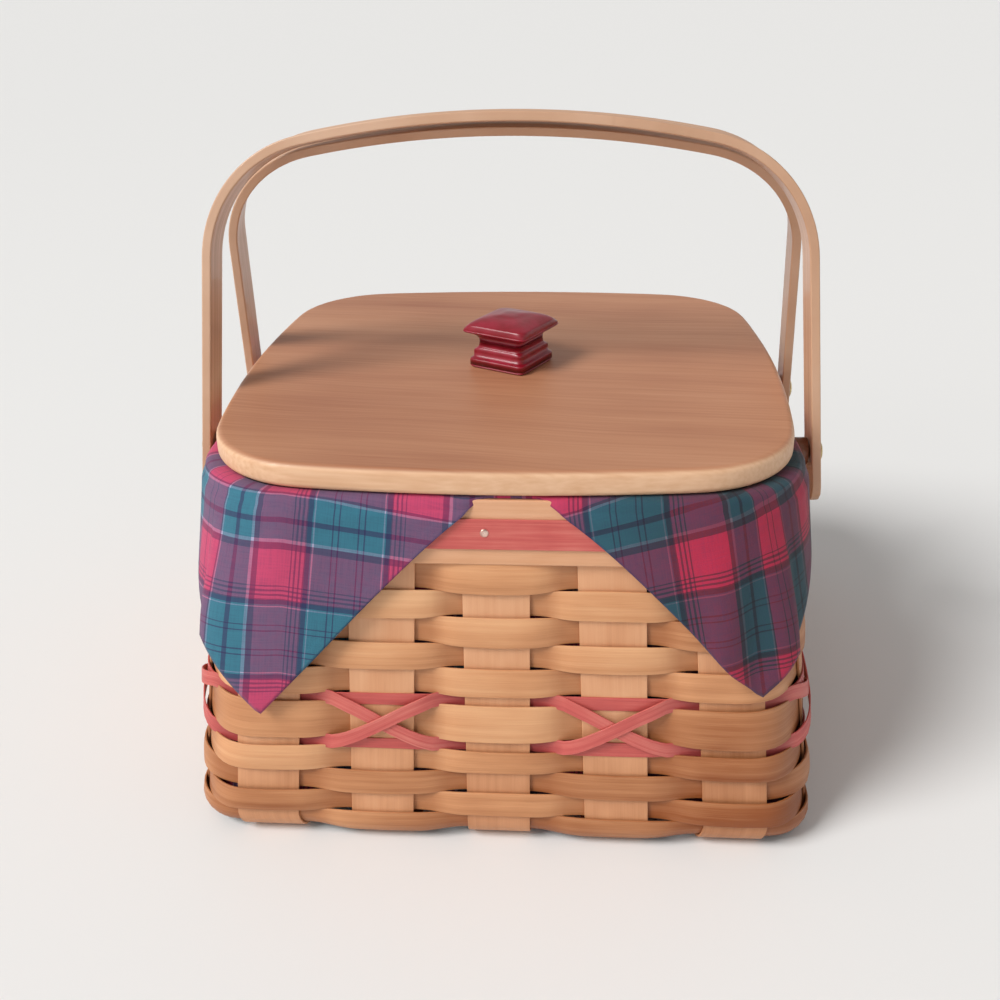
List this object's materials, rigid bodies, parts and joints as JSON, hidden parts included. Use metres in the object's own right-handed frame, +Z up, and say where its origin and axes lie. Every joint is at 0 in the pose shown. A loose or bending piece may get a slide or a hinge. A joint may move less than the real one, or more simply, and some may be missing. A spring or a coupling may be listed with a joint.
{
  "type": "lidded picnic basket",
  "caption": "Square basket woven of flat wood splints, with a lift-off wood lid, a red knob, swing handles and a cloth lining whose tips hang over the rim.",
  "frame": {"origin": "on the floor, under the middle of the basket", "axes": "+Z up, -Y towards the basket's front, +X towards its right-hand side as seen from the front"},
  "size_m": [0.3586, 0.3517, 0.3711],
  "materials": {
    "splint": "warm stained splint, satin",
    "rim_wood": "pale stained hardwood, satin",
    "handle_wood": "bent hardwood strip, satin",
    "lid_wood": "stained and varnished, satin",
    "red_splint": "red dyed splint, satin",
    "red_lacquer": "deep red gloss lacquer",
    "cloth": "woven cotton, plaid",
    "brass": "dull brass"
  },
  "bodies": {
    "basket": {"front_back_stake_1": "splint", "front_back_stake_2": "splint", "front_back_stake_3": "splint", "front_back_stake_4": "splint", "front_back_stake_5": "splint", "side_to_side_stake_1": "splint", "side_to_side_stake_2": "splint", "side_to_side_stake_3": "splint", "side_to_side_stake_4": "splint", "side_to_side_stake_5": "splint", "front_back_filler_1": "splint", "front_back_filler_2": "splint", "front_back_filler_3": "splint", "front_back_filler_4": "splint", "side_to_side_filler_1": "splint", "side_to_side_filler_2": "splint", "side_to_side_filler_3": "splint", "side_to_side_filler_4": "splint", "upper_weaver_1": "splint", "upper_weaver_2": "splint", "upper_weaver_3": "splint", "upper_weaver_4": "splint", "upper_weaver_5": "splint", "red_weaver_upper": "red_splint", "wide_weaver": "splint", "red_weaver_lower": "red_splint", "lower_weaver_1": "splint", "lower_weaver_2": "splint", "lower_weaver_3": "splint", "lower_weaver_4": "splint", "red_cross_strip_under": "red_splint", "red_cross_strip_over": "red_splint", "outer_rim_band": "rim_wood", "inner_rim_band": "rim_wood", "red_rim_strip": "red_splint", "cloth_liner": "cloth", "pivot_rivet_front_left": "brass", "pivot_rivet_front_right": "brass", "pivot_rivet_back_left": "brass", "pivot_rivet_back_right": "brass", "pivot_spacer_front_left": "handle_wood", "pivot_spacer_front_right": "handle_wood", "pivot_spacer_back_left": "handle_wood", "pivot_spacer_back_right": "handle_wood"},
    "lid": {"lid_board": "lid_wood", "lid_batten_front": "rim_wood", "lid_batten_back": "rim_wood", "lid_knob": "red_lacquer", "knob_screw": "brass"},
    "front_handle": {"front_handle": "handle_wood"},
    "back_handle": {"back_handle": "handle_wood"}
  },
  "joints": [
    {"name": "lid_lift", "type": "slide", "parent": "basket", "child": "lid", "axis": [0, 0, 1], "range_m": [0, 0.07]},
    {"name": "front_handle_swing", "type": "hinge", "parent": "basket", "child": "front_handle", "pos_m": [0, -0.051, 0.1873], "axis": [1, 0, 0], "range_deg": [0, 105]},
    {"name": "back_handle_swing", "type": "hinge", "parent": "basket", "child": "back_handle", "pos_m": [0, 0.051, 0.1873], "axis": [-1, 0, 0], "range_deg": [0, 116]}
  ]
}
